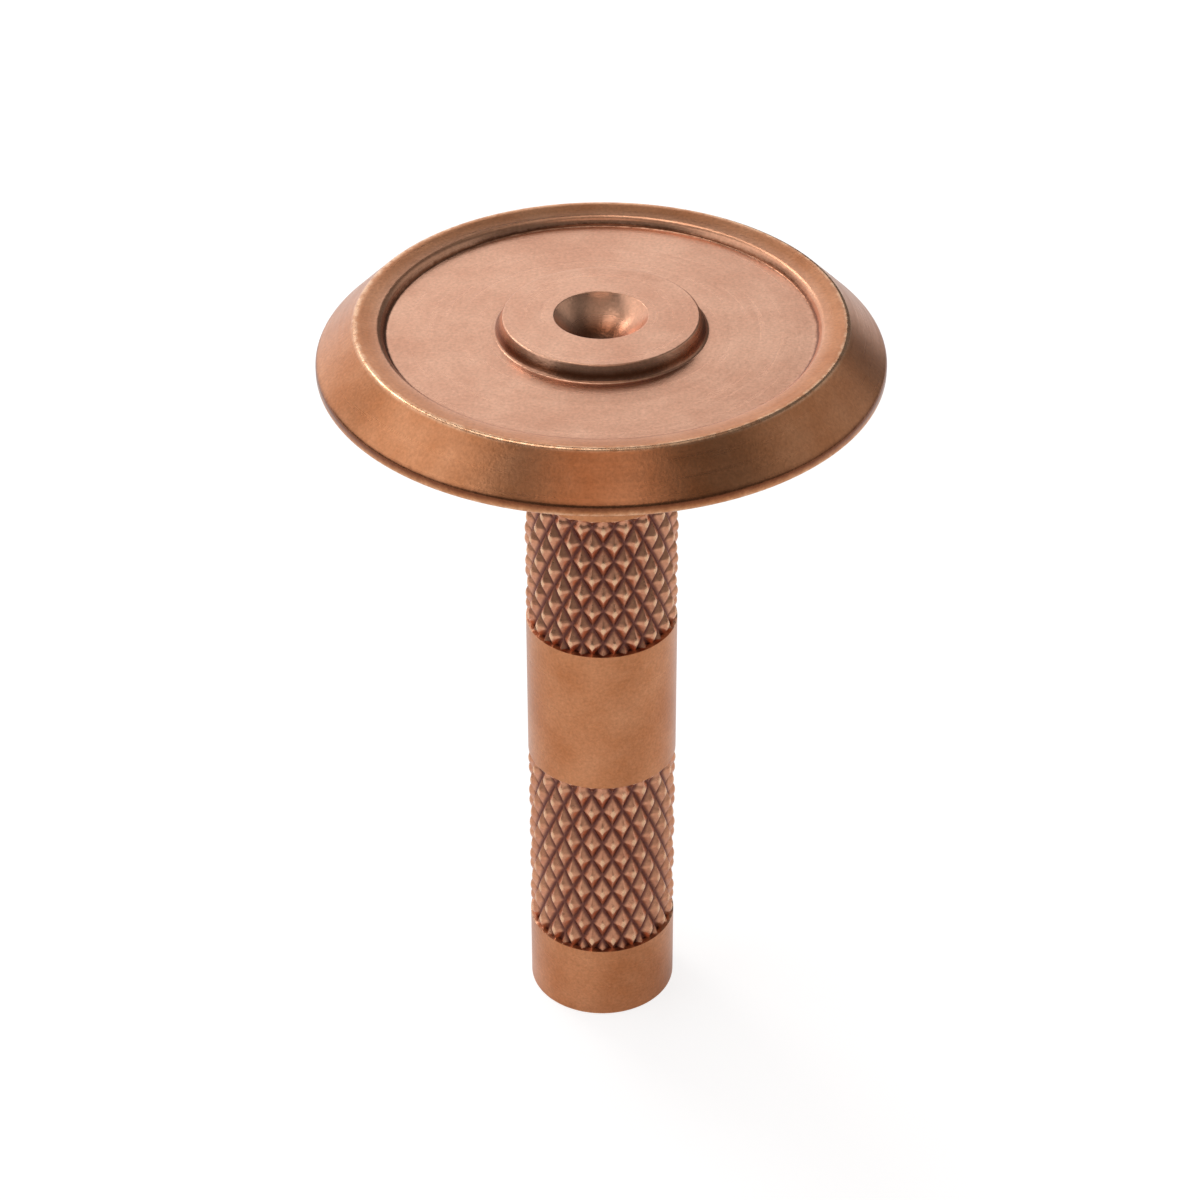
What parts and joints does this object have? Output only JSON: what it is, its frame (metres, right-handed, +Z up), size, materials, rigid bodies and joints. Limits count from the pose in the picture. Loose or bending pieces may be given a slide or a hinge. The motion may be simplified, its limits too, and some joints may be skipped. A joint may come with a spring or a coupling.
{
  "type": "knurled bolt",
  "caption": "Headed marker bolt in red bronze: dished round head with a boss and centre dimple, on a straight shank with diamond-knurled bands.",
  "frame": {"origin": "centre of the flat end of the shank", "axes": "+Z up the bolt's axis from the flat end of the shank to the head; the bolt is round about +Z apart from its knurl"},
  "size_m": [0.05, 0.05, 0.0747],
  "materials": {
    "red_bronze": "satin, turned"
  },
  "bodies": {
    "root": {"knurled_bolt": "red_bronze"}
  },
  "joints": []
}
